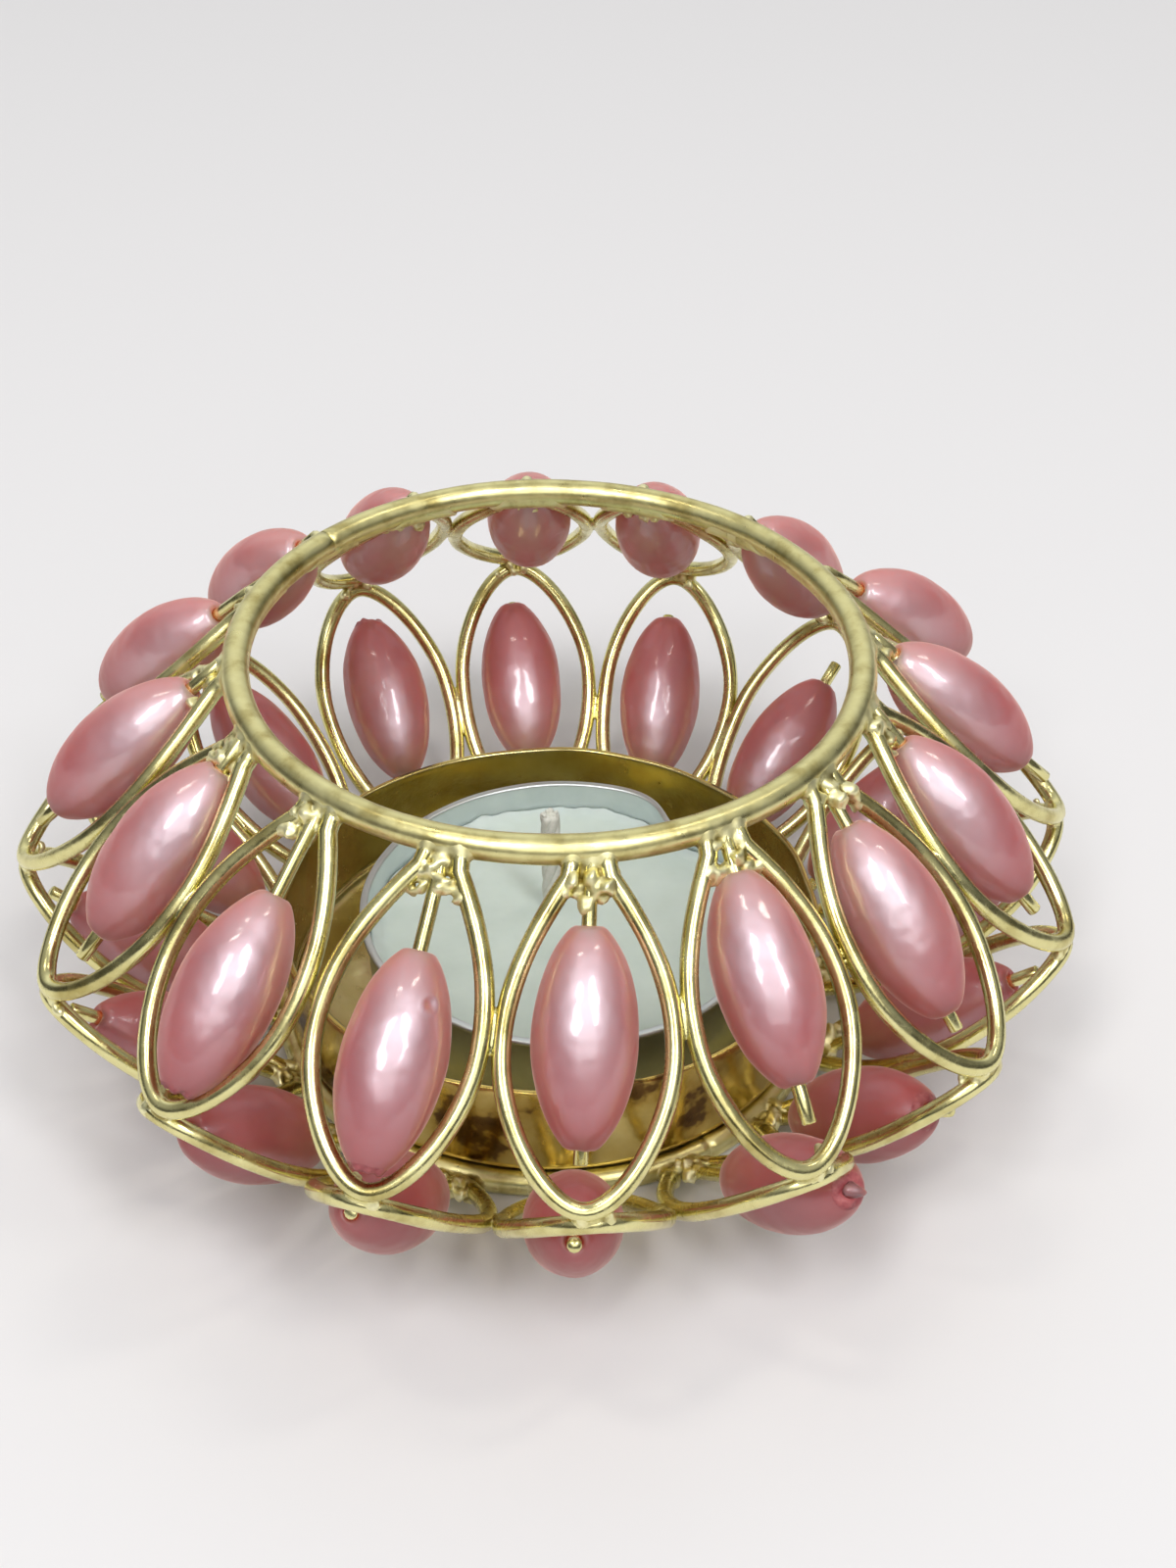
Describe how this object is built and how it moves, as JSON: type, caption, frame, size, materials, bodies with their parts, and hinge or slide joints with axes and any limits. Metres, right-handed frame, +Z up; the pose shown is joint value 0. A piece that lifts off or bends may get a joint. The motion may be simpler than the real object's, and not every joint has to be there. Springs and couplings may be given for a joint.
{
  "type": "tealight holder",
  "caption": "Lotus-shaped tealight holder of gold wire petals with a pearl bead in each petal, on a round pan with a tealight.",
  "frame": {"origin": "middle of the base ring on the table plane", "axes": "+Z up along the middle of the rings, -Y towards the first petal, which faces the viewer in the picture"},
  "size_m": [0.0952, 0.0952, 0.0416],
  "materials": {
    "gold_wire": "satin champagne gold lacquer",
    "gold_sheet": "smooth olive gold sheet",
    "pearl": "pearlescent dusty pink",
    "foil": "pressed foil",
    "wax": "translucent white wax",
    "wick": "waxed cotton braid"
  },
  "bodies": {
    "holder": {"rim_ring": "gold_wire", "base_ring": "gold_wire", "drip_pan": "gold_sheet", "petal_pair_01": "gold_wire", "petal_pair_02": "gold_wire", "petal_pair_03": "gold_wire", "petal_pair_04": "gold_wire", "petal_pair_05": "gold_wire", "petal_pair_06": "gold_wire", "petal_pair_07": "gold_wire", "petal_pair_08": "gold_wire", "petal_pair_09": "gold_wire", "petal_pair_10": "gold_wire", "petal_pair_11": "gold_wire", "petal_pair_12": "gold_wire", "petal_pair_13": "gold_wire", "petal_pair_14": "gold_wire", "petal_pair_15": "gold_wire", "petal_pair_16": "gold_wire", "upper_bead_01": "pearl", "upper_bead_02": "pearl", "upper_bead_03": "pearl", "upper_bead_04": "pearl", "upper_bead_05": "pearl", "upper_bead_06": "pearl", "upper_bead_07": "pearl", "upper_bead_08": "pearl", "upper_bead_09": "pearl", "upper_bead_10": "pearl", "upper_bead_11": "pearl", "upper_bead_12": "pearl", "upper_bead_13": "pearl", "upper_bead_14": "pearl", "upper_bead_15": "pearl", "upper_bead_16": "pearl", "lower_bead_01": "pearl", "lower_bead_02": "pearl", "lower_bead_03": "pearl", "lower_bead_04": "pearl", "lower_bead_05": "pearl", "lower_bead_06": "pearl", "lower_bead_07": "pearl", "lower_bead_08": "pearl", "lower_bead_09": "pearl", "lower_bead_10": "pearl", "lower_bead_11": "pearl", "lower_bead_12": "pearl", "lower_bead_13": "pearl", "lower_bead_14": "pearl", "lower_bead_15": "pearl", "lower_bead_16": "pearl"},
    "tealight": {"tealight_cup": "foil", "tealight_wax": "wax", "tealight_wick": "wick", "wick_sustainer": "foil"}
  },
  "joints": [
    {"name": "tealight_lift", "type": "slide", "parent": "holder", "child": "tealight", "axis": [0, 0, 1], "range_m": [0, 0.06]}
  ]
}
